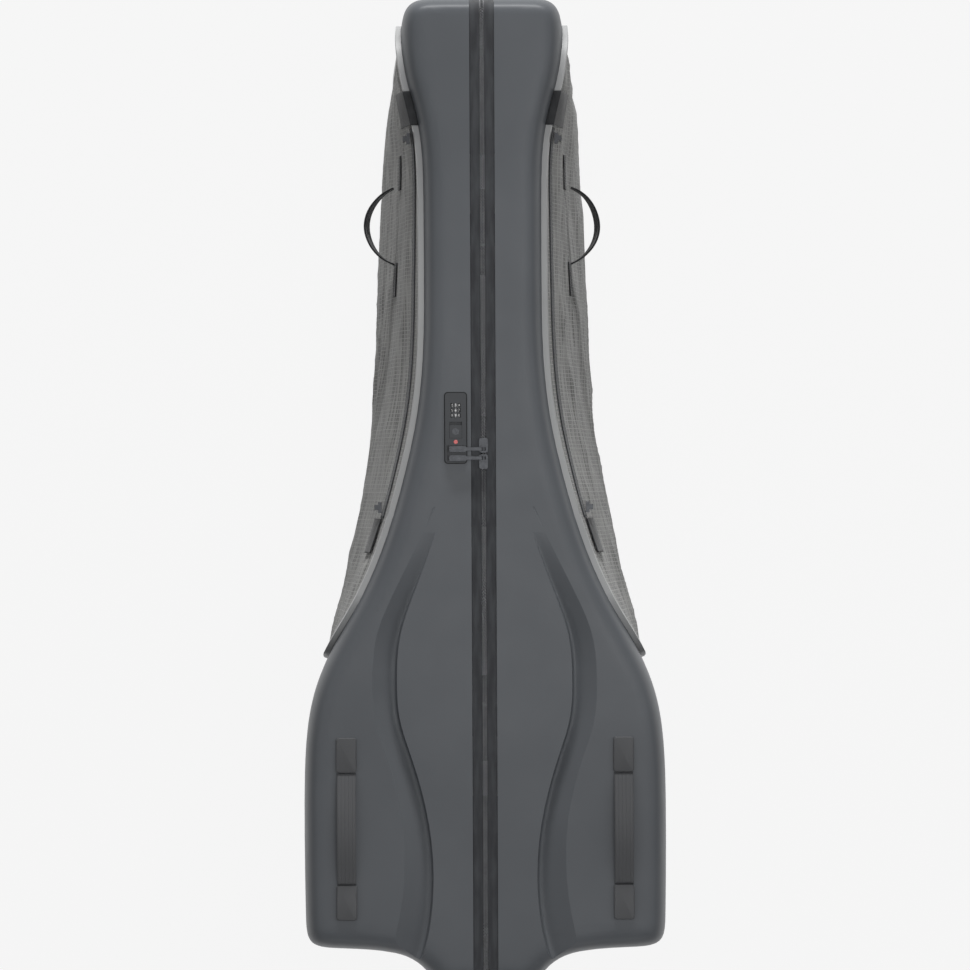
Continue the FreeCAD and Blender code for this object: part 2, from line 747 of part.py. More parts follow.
def build_puller(y, pin_z):
    """A puller with a barrel on the slider's pin, a narrow neck and a flat tab."""
    low = pin_z - puller_thickness / 2
    high = pin_z + puller_thickness / 2
    neck_end = -puller_length / 2
    tab = block((-puller_length, neck_end), centred(y, puller_width), (low, high))
    tab = rounded(tab, puller_round, Vector(0, 0, 1))
    neck = block((neck_end - puller_round, 0.0), centred(y, puller_neck), (low, high))
    start = Vector(0, y - puller_neck / 2, pin_z)
    end = Vector(0, y + puller_neck / 2, pin_z)
    barrel = rod(puller_barrel_radius - seat_gap, start, end)
    puller = tab.fuse(neck).fuse(barrel).cut(rod(puller_pin_radius + running_gap, start, end))
    return puller.removeSplitter()


def lock_block(margin):
    """The part of the lock that passes through the shell."""
    x = centred(lock_x, lock_width - 2 * lock_flange + 2 * margin)
    y = centred(lock_y, lock_length - 2 * lock_flange + 2 * margin)
    return block(x, y, (shell_top - lock_depth - margin, shell_top + seat_gap))


def build_lock():
    """The combination lock: case, dials, dial pin, release button, key barrel and marker."""
    top = shell_top + lock_plate
    plate = block(centred(lock_x, lock_width), centred(lock_y, lock_length), (shell_top + seat_gap, top))
    plate = rounded(plate, lock_round, Vector(0, 0, 1))
    case = plate.fuse(lock_block(0.0))

    dial_z = top + dial_proud - dial_radius
    stack = (dial_count - 1) * dial_pitch + dial_width + 2 * dial_room
    room_top = top - lock_plate / 2
    room = block(centred(lock_x, 2 * (dial_radius + dial_room)), centred(dial_y, stack),
                 (dial_z - dial_radius - dial_room, room_top))
    case = case.cut(room)
    pin_reach = stack / 2 + dial_room + puller_pin_radius
    pin_start = Vector(lock_x, dial_y - pin_reach, dial_z)
    pin_end = Vector(lock_x, dial_y + pin_reach, dial_z)
    case = case.cut(rod(dial_pin_radius + running_gap, pin_start, pin_end))
    save("dial_pin", rod(dial_pin_radius, pin_start, pin_end))
    for step in range(dial_count):
        y = dial_y + (1 - step) * dial_pitch
        slot_y = centred(y, dial_width + dial_room)
        case = case.cut(block(centred(lock_x, dial_window), slot_y, (dial_z, top + overrun)))
        save("lock_dial_%d" % (step + 1), build_dial(y, dial_z))

    slot_y = (button_y - button_length / 2, button_y + button_length / 2 + button_travel)
    slot_x = centred(lock_x, button_width)
    case = case.cut(block(slot_x, slot_y, (top - button_depth, top + overrun)))
    button_x = (slot_x[0] + seat_gap, slot_x[1] - seat_gap)
    button_run = (slot_y[0] + seat_gap, slot_y[1] - button_travel - seat_gap)
    button = block(button_x, button_run, (top - button_depth + seat_gap, top - seat_gap))
    key_low = Vector(lock_x, button_y, top - button_depth + 3 * seat_gap)
    key_high = Vector(lock_x, button_y, top - seat_gap)
    hole_low = key_low - Vector(0, 0, seat_gap)
    button = button.cut(rod(key_radius + running_gap, hole_low, key_high + Vector(0, 0, overrun)))
    save("lock_button", button)
    key_slot = block(centred(lock_x, key_slot_width), centred(button_y, key_slot_length),
                     (top - key_slot_depth, top + overrun))
    save("key_barrel", rod(key_radius, key_low, key_high).cut(key_slot))

    recess_low = lock_front + pull_recess_wall
    recess_x = (lock_x - lock_width / 2 + pull_recess_wall, lock_x + lock_width)
    recess_y = (recess_low, recess_low + pull_recess_length)
    case = case.cut(block(recess_x, recess_y, (top - pull_recess_depth, top + overrun)))
    light_y = (recess_low + pull_recess_length + slot_y[0]) / 2
    light_low = Vector(lock_x, light_y, top - light_depth)
    light_high = Vector(lock_x, light_y, top)
    case = case.cut(rod(light_radius, light_low, light_high + Vector(0, 0, overrun)))
    save("lock_marker", rod(light_radius - running_gap, light_low, light_high))
    save("lock_case", case.removeSplitter())


def build_dial(y, dial_z):
    """A number wheel with grip ribs round its rim."""
    start = Vector(lock_x, y - dial_width / 2, dial_z)
    end = Vector(lock_x, y + dial_width / 2, dial_z)
    dial = rod(dial_radius, start, end)
    for step in range(dial_ribs):
        turn = 2 * math.pi * (step + 1 / 2) / dial_ribs
        side = Vector(math.sin(turn), 0, math.cos(turn)) * dial_radius
        dial = dial.cut(rod(dial_rib_radius, start + side, end + side))
    return dial.cut(rod(dial_pin_radius + running_gap, start, end))


os.makedirs("parts", exist_ok=True)
fabric_outer = fabric_body(0.0)
save("base_tray", build_tray())
build_wheels()
build_feet()
build_stand()
build_hinges()
build_shells()
build_zip()
build_strap_handles()
build_carry_handles()
build_pocket_zips()
build_main_sliders()
build_lock()
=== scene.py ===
# %% [markdown]
# # A bike travel case, dressed on its CAD frame
#
# The case is a pair of moulded half shells with soft fabric sides. The hard pieces come from the CAD frame
# and only need a finish. The soft ones (fabric, webbing, straps, zips) are modelled here, each on the place
# that the CAD gives it. All lengths are in metres.

# %% Load the CAD frame
import math

import bmesh
import bpy
from mathutils import Matrix, Vector, noise
from mathutils.bvhtree import BVHTree


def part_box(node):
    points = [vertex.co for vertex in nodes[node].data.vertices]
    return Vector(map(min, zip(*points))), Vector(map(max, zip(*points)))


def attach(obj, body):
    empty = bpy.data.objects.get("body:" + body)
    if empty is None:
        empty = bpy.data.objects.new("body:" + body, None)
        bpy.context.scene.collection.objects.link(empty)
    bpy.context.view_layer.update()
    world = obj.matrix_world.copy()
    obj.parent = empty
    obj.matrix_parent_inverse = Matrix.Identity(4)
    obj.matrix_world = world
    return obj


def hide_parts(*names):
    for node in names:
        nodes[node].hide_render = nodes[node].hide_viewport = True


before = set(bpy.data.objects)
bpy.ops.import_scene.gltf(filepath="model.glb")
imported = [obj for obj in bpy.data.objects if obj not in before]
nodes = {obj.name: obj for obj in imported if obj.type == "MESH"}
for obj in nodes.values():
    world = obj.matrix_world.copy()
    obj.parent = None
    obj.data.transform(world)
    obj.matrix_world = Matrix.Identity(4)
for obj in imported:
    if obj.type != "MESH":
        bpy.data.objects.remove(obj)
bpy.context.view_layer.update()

mm = 0.001

# %% [markdown]
# ## Small tools for materials
#
# Colours are written as sRGB hex codes, because that is how they are picked, but shaders work in linear
# light, so one function converts them. Every node of every material goes through `add`, which sets options
# and fills sockets with plain values or with the outputs of other nodes. Most finishes then need the same
# three things: a tone that runs between two colours, a sheen that varies, and a bump.

# %% Colour and node helpers
def colour(code):
    """A linear RGBA colour from an sRGB hex code."""
    parts = [int(code[i:i + 2], 16) / 255 for i in (1, 3, 5)]
    linear = [p / 12.92 if p <= 0.04045 else ((p + 0.055) / 1.055) ** 2.4 for p in parts]
    return (*linear, 1.0)


def add(tree, kind, inputs=None, **settings):
    """Adds a shader node, sets its options, and fills its sockets."""
    node = tree.nodes.new("ShaderNode" + kind)
    for name, value in settings.items():
        setattr(node, name, value)
    for name, value in (inputs or {}).items():
        socket = node.inputs[name]
        if isinstance(value, bpy.types.NodeSocket):
            tree.links.new(value, socket)
        else:
            socket.default_value = value
    return node


def finish(name, shader):
    """A new material with one shader, whose sockets are given by name; returns its node tree too."""
    material = bpy.data.materials.new(name)
    material.use_nodes = True
    tree = material.node_tree
    tree.nodes.clear()
    output = add(tree, "OutputMaterial")
    surface = add(tree, "BsdfPrincipled", shader)
    tree.links.new(surface.outputs["BSDF"], output.inputs["Surface"])
    return material, tree, surface


def per_size(size):
    """The scale of a texture whose features are to be this many metres across."""
    return 1 / size


def tones(tree, value, deep, tint, ends):
    """A colour that runs from a deep tone to a light one between two ends of a value."""
    ramp = add(tree, "ValToRGB", {"Fac": value})
    for element, place, code in zip(ramp.color_ramp.elements, ends, (deep, tint)):
        element.position = place
        element.color = colour(code)
    return ramp.outputs["Color"]


def vary_sheen(tree, surface, value, rough, swing):
    """Lets a value swing a surface's roughness to both sides of its mean."""
    spread = add(tree, "MapRange", {"Value": value, "To Min": rough - swing, "To Max": rough + swing})
    tree.links.new(spread.outputs["Result"], surface.inputs["Roughness"])


def raise_bump(tree, surface, height, strength, relief):
    """Lets a height value tilt a surface's normals."""
    bump = add(tree, "Bump", {"Height": height, "Strength": strength, "Distance": relief})
    tree.links.new(bump.outputs["Normal"], surface.inputs["Normal"])


print("helpers ready")

# %% [markdown]
# ## The moulded shell
#
# The half shells are thermoformed polycarbonate with a fine matt grain. The eye sees three things: a soft
# tone that drifts over a hand's width, a slightly uneven sheen, and a pebble grain that breaks up highlights.
# The real grain is under half a millimetre, too fine for this picture, so it is drawn at about 2 mm. A matt
# grain also dims the mirror part of the light, so the specular level is low.

# %% Moulded plastics
drift_size, drift_ends = 220 * mm, (0.3, 0.72)
blotch_size, blotch_swing = 50 * mm, 0.06
matt_level = 0.2
pebble_strength = 0.5


def moulded(name, tint, deep, rough, grain, relief):
    """A grained moulded plastic: tone that drifts, a sheen that varies, and a pebble bump."""
    material, tree, surface = finish(name, {"Specular IOR Level": matt_level, "IOR": 1.5})
    place = add(tree, "TexCoord").outputs["Object"]
    drift = add(tree, "TexNoise", {"Vector": place, "Scale": per_size(drift_size), "Detail": 3.0})
    tone = tones(tree, drift.outputs["Fac"], deep, tint, drift_ends)
    tree.links.new(tone, surface.inputs["Base Color"])
    sheen = add(tree, "TexNoise", {"Vector": place, "Scale": per_size(blotch_size), "Detail": 4.0})
    vary_sheen(tree, surface, sheen.outputs["Fac"], rough, blotch_swing)
    pebbles = add(tree, "TexVoronoi", {"Vector": place, "Scale": per_size(grain)}, feature="SMOOTH_F1")
    raise_bump(tree, surface, pebbles.outputs["Distance"], pebble_strength, relief)
    return material


# Light tone, deep tone, roughness, size of the grain and its relief.
shell_finish = moulded("thermoformed_polycarbonate", "#5c5f63", "#54575b", 0.42, 2.2 * mm, 0.08 * mm)
tray_finish = moulded("injection_moulded_polypropylene", "#3f4143", "#37393b", 0.52, 2.6 * mm, 0.2 * mm)
lip_finish = moulded("extruded_tpu_trim", "#aeafaf", "#9b9c9d", 0.4, 1.4 * mm, 0.05 * mm)
strap_finish = moulded("soft_touch_rubber", "#565759", "#4c4d4f", 0.55, 1.2 * mm, 0.06 * mm)
black_finish = moulded("glass_filled_nylon", "#2b2d2f", "#232527", 0.45, 1.0 * mm, 0.05 * mm)
lock_finish = moulded("matt_abs_lock_body", "#3e4043", "#36383b", 0.42, 0.9 * mm, 0.03 * mm)
tyre_finish = moulded("polyurethane_tread", "#29292a", "#212122", 0.62, 1.6 * mm, 0.1 * mm)
skid_finish = moulded("moulded_rubber", "#242526", "#1c1d1e", 0.68, 1.8 * mm, 0.12 * mm)
print("moulded plastics:", 8)

# %% [markdown]
# ## Metals
#
# The zip hardware and the key barrel are die-cast zinc with a dark gunmetal plating, the hinge rods and axles
# are zinc-plated steel, and the rail, sills and thru axles are extruded aluminium with a clear anodised skin.
# Draw lines run along an extrusion, so its noise is stretched along the case; cast and plated pieces only
# show faint blotches in their sheen.

# %% Plated and anodised metals
streak_swing = 0.1
streak_strength, streak_relief = 0.25, 0.05 * mm


def metal(name, tint, rough, streak):
    """A metal whose sheen varies in streaks; equal streak sizes give the blotches of a casting."""
    material, tree, surface = finish(name, {"Base Color": colour(tint), "Metallic": 1.0})
    place = add(tree, "TexCoord").outputs["Object"]
    stretched = add(tree, "Mapping", {"Vector": place, "Scale": [per_size(s) for s in streak]})
    lines = add(tree, "TexNoise", {"Vector": stretched.outputs["Vector"], "Scale": 1.0, "Detail": 5.0})
    vary_sheen(tree, surface, lines.outputs["Fac"], rough, streak_swing)
    raise_bump(tree, surface, lines.outputs["Fac"], streak_strength, streak_relief)
    return material


# Tone, roughness, and length of the streaks in x, y and z.
gunmetal_finish = metal("gunmetal_plated_zinc", "#313234", 0.34, (4 * mm, 4 * mm, 4 * mm))
steel_finish = metal("zinc_plated_steel", "#a9abad", 0.34, (6 * mm, 6 * mm, 6 * mm))
alloy_finish = metal("anodised_aluminium", "#b4b7ba", 0.38, (1.2 * mm, 160 * mm, 1.2 * mm))
print("metals:", 3)

# %% [markdown]
# ## Woven finishes
#
# The fabric and zip tapes are polyester, the webbing is polypropylene, the flaps are coated nylon. Cloth is
# matt, with a soft sheen at grazing angles. What tells one from another is the weave: ripstop has a raised
# grid about 5 mm wide over a plain weave, and its yarns differ in tone, which gives a heather look with fine
# streaks along the case. The weave has to follow the cloth, so it is drawn on a UV map that each soft piece
# carries in metres. Real threads are half a millimetre wide, too fine for this picture, so they are drawn at
# about 1.5 mm.

# %% Cloth with threads, streaks and a grid
cloth_shader = {"Roughness": 0.82, "Specular IOR Level": 0.25, "Sheen Weight": 0.25, "Sheen Roughness": 0.5}
wave_turn = 20  # radians that a wave texture turns in a unit of length, at a scale of 1
thread_wobble, thread_shade, thread_strength = 0.4, 0.3, 0.6
grid_line_share, grid_rise, grid_blur = 0.09, 0.8, 0.3
black, white = (0, 0, 0, 1), (1, 1, 1, 1)


def woven(name, tint, deep, thread, relief, yarn, grid=0.0, grid_tint=None, ends=(0.42, 0.76)):
    """A woven cloth drawn on the UV map: threads both ways, yarn streaks, and perhaps a raised grid."""
    material, tree, surface = finish(name, cloth_shader)
    place = add(tree, "UVMap", uv_map="cloth").outputs["UV"]
    drawn = add(tree, "Mapping", {"Vector": place, "Scale": (per_size(yarn[0]), per_size(yarn[1]), 1.0)})
    fade = add(tree, "TexNoise", {"Vector": drawn.outputs["Vector"], "Scale": 1.0, "Detail": 3.0})
    waves = {"Vector": place, "Scale": math.tau / wave_turn / thread, "Distortion": thread_wobble}
    warp = add(tree, "TexWave", waves, bands_direction="X")
    weft = add(tree, "TexWave", waves, bands_direction="Y")
    cloth = add(tree, "Math", {0: warp.outputs["Fac"], 1: weft.outputs["Fac"]}, operation="MULTIPLY")
    height = cloth.outputs["Value"]
    shade = add(tree, "Math", {0: height, 1: thread_shade, 2: fade.outputs["Fac"]}, operation="MULTIPLY_ADD")
    base = tones(tree, shade.outputs["Value"], deep, tint, ends)
    if grid:
        cells = add(tree, "TexBrick", {
            "Vector": place, "Color1": black, "Color2": black, "Mortar": white, "Scale": 1.0,
            "Brick Width": grid, "Row Height": grid, "Mortar Size": grid * grid_line_share,
            "Mortar Smooth": grid_blur}, offset=0.0)
        lines = cells.outputs["Fac"]
        raised = add(tree, "Math", {0: lines, 1: grid_rise, 2: height}, operation="MULTIPLY_ADD")
        height = raised.outputs["Value"]
        base = add(tree, "Mix", {0: lines, 6: base, 7: colour(grid_tint)}, data_type="RGBA").outputs[2]
    tree.links.new(base, surface.inputs["Base Color"])
    raise_bump(tree, surface, height, thread_strength, relief)
    return material


# Light tone, deep tone, thread, relief, streaks (length, width); then grid, its tone, ends of the tones.
fabric_finish = woven("heather_ripstop_polyester", "#a6a6a4", "#4a4a49", 1.6 * mm, 0.3 * mm,
                      (60 * mm, 6 * mm), 5.5 * mm, "#a2a2a0", (0.44, 0.74))
webbing_finish = woven("polypropylene_webbing", "#2e2f31", "#191a1b", 2.2 * mm, 0.4 * mm, (20 * mm, 20 * mm))
tape_finish = woven("polyester_zip_tape", "#434548", "#2d2e31", 1.5 * mm, 0.18 * mm, (10 * mm, 60 * mm))
flap_finish = woven("coated_nylon_flap", "#333436", "#222325", 1.4 * mm, 0.15 * mm, (20 * mm, 20 * mm))
foam_finish = woven("knitted_foam_cover", "#3b3d40", "#292b2e", 2.4 * mm, 0.4 * mm, (30 * mm, 30 * mm))
print("woven finishes:", 5)

# %% [markdown]
# ## Small finishes
#
# Nylon coil, sewing thread, number wheels, printed digits and the red marker are small enough that a little
# variation in tone is all they can show. Each gets it from a noise, so no two stitches look the same.

# %% Coil, thread, digit paint, marker and wheels
mottle_ends = (0.35, 0.65)


def speckled(name, tint, deep, rough, size):
    """A small plain finish with a light mottle."""
    material, tree, surface = finish(name, {"Roughness": rough})
    place = add(tree, "TexCoord").outputs["Object"]
    mottle = add(tree, "TexNoise", {"Vector": place, "Scale": per_size(size), "Detail": 2.0})
    tone = tones(tree, mottle.outputs["Fac"], deep, tint, mottle_ends)
    tree.links.new(tone, surface.inputs["Base Color"])
    return material


# Light tone, deep tone, roughness and size of the mottle.
coil_finish = speckled("nylon_coil", "#77787b", "#5d5e61", 0.45, 4 * mm)
thread_finish = speckled("polyester_thread", "#4c4d4f", "#3a3b3d", 0.7, 3 * mm)
digit_finish = speckled("white_digit_paint", "#ececec", "#dcdcdc", 0.5, 1 * mm)
marker_finish = speckled("red_enamel_marker", "#c8322f", "#b52825", 0.3, 1.5 * mm)
dial_finish = speckled("acetal_number_wheel", "#3a3b3d", "#2f3032", 0.4, 3 * mm)
print("small finishes:", 5)

# %% [markdown]
# ## Dressing the hard pieces
#
# The CAD pieces already have the right shape, so they only take a finish. A table says which pieces share
# one, and a loop puts it in their material slots. The soft pieces in the CAD are left out here, because each
# is replaced below.

# %% Finishes for the CAD pieces
both, both_ends = ("left_", "right_"), ("front_", "rear_")
dressing = {
    shell_finish: [side + "shell" for side in both],
    tray_finish: ["base_tray"],
    lip_finish: [side + "trim_lip" for side in both],
    black_finish: ["wheel_housings", "glide_rails", "base_hinge_leaves", "fork_tower", "rear_tower",
                   "fork_tower_knob", "rear_tower_knob"] + [side + "wheel_core" for side in both],
    lock_finish: ["lock_case", "lock_button"],
    skid_finish: ["front_skids"],
    tyre_finish: [side + "wheel_tyre" for side in both],
    gunmetal_finish: ["key_barrel"]
    + [end + part for end in both_ends for part in ("zip_slider", "zip_puller")]
    + [side + end + "pocket_slider" for side in both for end in both_ends],
    steel_finish: ["wheel_bearings", "wheel_axles", "hinge_rods", "dial_pin"],
    alloy_finish: ["stand_rail", "fork_axle", "rear_axle"] + [side + "sill" for side in both],
    dial_finish: ["lock_dial_1", "lock_dial_2", "lock_dial_3"],
    marker_finish: ["lock_marker"],
}


def dress(thing, *materials):
    """Gives an object these materials in place of what it has."""
    thing.data.materials.clear()
    for material in materials:
        thing.data.materials.append(material)


for material, names in dressing.items():
    for name in names:
        dress(nodes[name], material)
print("dressed", sum(len(names) for names in dressing.values()), "CAD pieces")

# %% [markdown]
# ## Laying cloth on the CAD
#
# Every soft piece starts as a flat grid. A function then lays each of its vertices: it takes two shares from
# 0 to 1, across and along, and gives back a point in space and a place on the cloth. To find the surface
# under the cloth, a ray is cast at the CAD piece, so the cloth lands where the CAD says without any fitting
# by hand. A live Solidify modifier gives the sheet its thickness on the inside.

# %% Grids, rays and pieces
sides = {"right_": 1, "left_": -1}
up_z = Vector((0, 0, 1))
sharp_angle = math.radians(40)
level_normal = 0.9


def cad_surface(name):
    """The surface of a CAD piece, ready for casting rays."""
    mesh = nodes[name].data
    return BVHTree.FromPolygons([v.co for v in mesh.vertices], [p.vertices for p in mesh.polygons])


def cast_side(skin, sign, y, z):
    """The place and the normal where a ray from the side meets a surface, or nothing twice."""
    return skin.ray_cast(Vector((sign, y, z)), Vector((-sign, 0, 0)))[:2]


def laid_grid(columns, rows, lay, outward):
    """A grid whose vertices are laid by a function, with its faces turned to a given side."""
    build = bmesh.new()
    bmesh.ops.create_grid(build, x_segments=columns, y_segments=rows, size=0.5)
    cloth = build.loops.layers.uv.new("cloth")
    places = {}
    for vert in build.verts:
        vert.co, places[vert] = lay(vert.co.x + 0.5, vert.co.y + 0.5)
    for face in build.faces:
        for loop in face.loops:
            loop[cloth].uv = places[loop.vert]
    build.normal_update()
    if sum(face.normal.dot(outward) for face in build.faces) < 0:
        bmesh.ops.reverse_faces(build, faces=build.faces)
    return build


def add_block(build, middle, size):
    """Adds a block to a bmesh."""
    place = Matrix.Translation(middle) @ Matrix.Diagonal((*size, 1))
    bmesh.ops.create_cube(build, size=1, matrix=place)


def round_edges(build, edges, width, segments):
    """Rounds some edges of a bmesh."""
    bmesh.ops.bevel(build, geom=edges, offset=width, segments=segments, affect="EDGES",
                    profile=0.5, material=-1)


def piece(name, build, body, slot, *materials):
    """Makes an object of a bmesh, smooth shaded, that rides on a body."""
    mesh = bpy.data.meshes.new(name)
    build.to_mesh(mesh)
    build.free()
    thing = bpy.data.objects.new(name, mesh)
    bpy.context.scene.collection.objects.link(thing)
    dress(thing, *materials)
    mesh.shade_smooth()
    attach(thing, body)
    return thing


def thicken(thing, thickness):
    """Gives a sheet its thickness on the inside."""
    wall = thing.modifiers.new("thickness", "SOLIDIFY")
    wall.thickness = thickness
    wall.offset = -1


def mesh_area(build):
    """The area of all faces of a bmesh."""
    return sum(face.calc_area() for face in build.faces)


def smooth_step(share):
    """A share from 0 to 1 that starts and ends gently."""
    share = min(max(share, 0.0), 1.0)
    return share * share * (3 - 2 * share)


print("cloth tools ready")

# %% [markdown]
# ## The fabric sides
#
# Each side is a ripstop panel on thin foam, sewn into the window of its half shell. It hangs in long shallow
# folds that run along the case, with a few slanting creases where the webbing grip pulls. A cloth simulation
# would have to be told all of that by pins, so the folds are laid directly: noise that is stretched along
# each fold gives a ridge where it crosses zero. The ridges stand out from the CAD surface by a named lift and
# the hollows sink below it. Both die out at the sewn edge and round what is sewn on.

# %% Fabric panels with folds
fabric_wall, fabric_gap = 5 * mm, 0.1 * mm
# Each set of folds: slant in degrees, then length, width and height.
fold_sets = [
    (-5, 400 * mm, 110 * mm, 8 * mm),
    (13, 300 * mm, 85 * mm, 6 * mm),
    (-18, 250 * mm, 60 * mm, 4 * mm),
    (4, 160 * mm, 26 * mm, 2 * mm),
]
ridge_gain, ridge_power = 2.6, 0.7
slump_depth, slump_size = 4 * mm, (300 * mm, 160 * mm)
strength_mean, strength_swing, strength_size = 0.55, 0.45, (250 * mm, 200 * mm)
fold_lift, fold_seed, slant_seed = 11 * mm, 3.7, 7
edge_fade, sewn_fade = 34 * mm, 22 * mm


def fold_depth(y, z, seed):
    """How far the cloth sinks between its folds."""
    depth = slump_depth * (0.5 + 0.5 * noise.noise(Vector((y / slump_size[0], z / slump_size[1], seed))))
    for slant, length, width, height in fold_sets:
        cos, sin = math.cos(math.radians(slant)), math.sin(math.radians(slant))
        run, across = cos * y + sin * z, cos * z - sin * y
        wave = noise.noise(Vector((run / length, across / width, seed + slant)))
        swing = noise.noise(Vector((y / strength_size[0], z / strength_size[1], seed + slant_seed * slant)))
        strength = strength_mean + strength_swing * swing
        depth += height * strength * min(1.0, ridge_gain * abs(wave)) ** ridge_power
    return depth


def beside(box, y, z):
    """How far a place on the side lies outside a box, in the plane of the side."""
    low, high = box
    return math.hypot(max(low.y - y, y - high.y, 0), max(low.z - z, z - high.z, 0))


def row_ends(skin, sign, z, middle, low, high):
    """Where a level of the panel starts and ends along the case, found by halving."""
    halvings = 14
    ends = []
    for far in (low, high):
        inside, outside = middle, far
        for step in range(halvings):
            probe = (inside + outside) / 2
            if cast_side(skin, sign, probe, z)[0]:
                inside = probe
            else:
                outside = probe
        ends.append(inside)
    return ends


def fabric_panel(side, sign):
    """One fabric side, laid on its CAD solid."""
    name = side + "fabric_side"
    skin = cad_surface(name)
    low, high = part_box(name)
    sewn = [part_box(side + part) for part in ("handle_patches", "pocket_zip", "zip_garages")]
    columns, rows = 230, 165
    margin = 0.2 * mm
    levels = [low.z + margin + (high.z - low.z - 2 * margin) * row / rows for row in range(rows + 1)]
    spans = [row_ends(skin, sign, z, (low.y + high.y) / 2, low.y - margin, high.y + margin) for z in levels]

    def lay(along, up):
        row = round(up * rows)
        z = levels[row]
        start, end = spans[row]
        y = start + along * (end - start)
        hit = cast_side(skin, sign, y, z)[0]
        edge = min(y - start, end - y, z - low.z, high.z - z)
        fade = smooth_step(edge / edge_fade)
        for box in sewn:
            fade *= smooth_step(beside(box, y, z) / sewn_fade)
        sink = fade * (fold_depth(y, z, fold_seed * sign) - fold_lift) + fabric_gap
        return hit - Vector((sign * sink, 0, 0)), (y, z)

    build = laid_grid(columns, rows, lay, Vector((sign, 0, 0)))
    area = mesh_area(build)
    panel = piece(side + "fabric_panel", build, side + "half", "side_fabric", fabric_finish)
    thicken(panel, fabric_wall)
    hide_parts(name)


for side, sign in sides.items():
    fabric_panel(side, sign)

# %% [markdown]
# ## The main zip
#
# A coil zip runs down one end, along the top and down the other end. The tape is a woven strip, and the coil
# is a row of nylon loops on each side of the centre. Their path is read from the CAD with rays that point at
# the middle of the case, then divided evenly. A luggage coil is one thick nylon thread wound flat with a loop
# about every 4 mm, so it is drawn that way: a helix worked out along the path, given a round section by a
# curve and then made a mesh. The two coils are half a loop apart, so they mesh.

# %% Path of the zip
coil_pitch = 4.2 * mm
coil_offset = 1.7 * mm
# The rays sweep, in degrees, from below the rear end over the top to below the front end.
ray_count, first_turn, all_turns = 2400, -62, 304
ray_reach, hub_share = 2.0, 0.62


def zip_path(name, x, sign, pitch):
    """Evenly spaced points along a CAD band, seen from the middle of the case."""
    skin = cad_surface(name)
    low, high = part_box(name)
    middle = Vector((sign * x, 0, (low.z + high.z) * hub_share))
    points = []
    for step in range(ray_count + 1):
        turn = math.radians(first_turn + all_turns * step / ray_count)
        ray = Vector((0, math.cos(turn), math.sin(turn)))
        hit = skin.ray_cast(middle + ray_reach * ray, -ray, ray_reach)[0]
        if hit:
            points.append(hit)
    spaced, left = [points[0]], pitch
    for start, end in zip(points, points[1:]):
        run = (end - start).length
        while left <= run:
            spaced.append(start.lerp(end, left / run))
            left += pitch
        left -= run
    return spaced


def with_normals(points):
    """Points with their directions along the path and outwards from it, in the middle plane."""
    framed = []
    for i, point in enumerate(points):
        run = (points[min(i + 1, len(points) - 1)] - points[max(i - 1, 0)]).normalized()
        framed.append((point, run, Vector((0, run.z, -run.y))))
    return framed


zip_frames = {side: with_normals(zip_path(side + "zip_teeth", coil_offset, sign, coil_pitch))
              for side, sign in sides.items()}
loops = len(zip_frames["right_"])
print("zip length", round(loops * coil_pitch, 2), "m,", loops, "loops a side")

# %% Coils and tapes of the zip
coil_wire, coil_reach, coil_rise, coil_sink = 0.75 * mm, 1.3 * mm, 0.7 * mm, 1.2 * mm
turn_points = 8
tape_step, tape_columns, tape_wall = 7 * mm, 24, 1.3 * mm
seam_place, seam_width, seam_depth = 0.8, 0.05, 0.25 * mm


def coil_row(side, sign):
    """The nylon coil of one half of the main zip, as one long thread."""
    curve = bpy.data.curves.new(side + "coil_line", "CURVE")
    curve.dimensions = "3D"
    curve.bevel_depth = coil_wire
    curve.bevel_resolution = 1
    route = []
    for (point, run, out), (following, _, _) in zip(zip_frames[side], zip_frames[side][1:]):
        for step in range(turn_points):
            turn = math.tau * step / turn_points
            place = point.lerp(following, step / turn_points) + run * (sign * coil_pitch / 4)
            across = Vector((-sign * coil_reach * math.cos(turn), 0, 0))
            route.append(place + across + out * (coil_rise * math.sin(turn) - coil_sink))
    spline = curve.splines.new("POLY")
    spline.points.add(len(route) - 1)
    for point, place in zip(spline.points, route):
        point.co = (*place, 1)
    line = bpy.data.objects.new(side + "coil_line", curve)
    build = bmesh.new()
    drawn = bpy.data.meshes.new_from_object(line)
    build.from_mesh(drawn)
    bpy.data.objects.remove(line)
    bpy.data.curves.remove(curve)
    bpy.data.meshes.remove(drawn)
    row = piece(side + "zip_coil", build, side + "half", "zip_coil", coil_finish)
    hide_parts(side + "zip_teeth")
    return row


def tape_strip(side, sign):
    """The woven tape of one half of the main zip, with a sewn line near its outer edge."""
    name = side + "zip_tape"
    low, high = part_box(name)
    near, far = sorted((abs(low.x), abs(high.x)))
    frames = with_normals(zip_path(name, (near + far) / 2, sign, tape_step))
    rows = len(frames) - 1

    def lay(across, along):
        point, run, out = frames[round(along * rows)]
        x = sign * (near + across * (far - near))
        dip = seam_depth * math.exp(-((across - seam_place) / seam_width) ** 2)
        return Vector((x, point.y, point.z)) - out * dip, (across * (far - near), along * rows * tape_step)

    build = laid_grid(tape_columns, rows, lay, up_z)
    strip = piece(side + "zip_strip", build, side + "half", "zip_fabric", tape_finish)
    thicken(strip, tape_wall)
    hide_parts(name)
    return strip


for side, sign in sides.items():
    coil = coil_row(side, sign)
    strip = tape_strip(side, sign)
    print(coil.name, len(coil.data.polygons), strip.name, len(strip.data.polygons))

# %% [markdown]
# ## Strap handles
#
# A flat moulded strap bows over each lobe, held at both ends by a cap. The strap has shallow grooves along
# its length. It is a grid laid on the arc that the CAD gives, with the grooves in its height. The caps are
# blocks whose upright corners and top rim are rounded by two bevels.

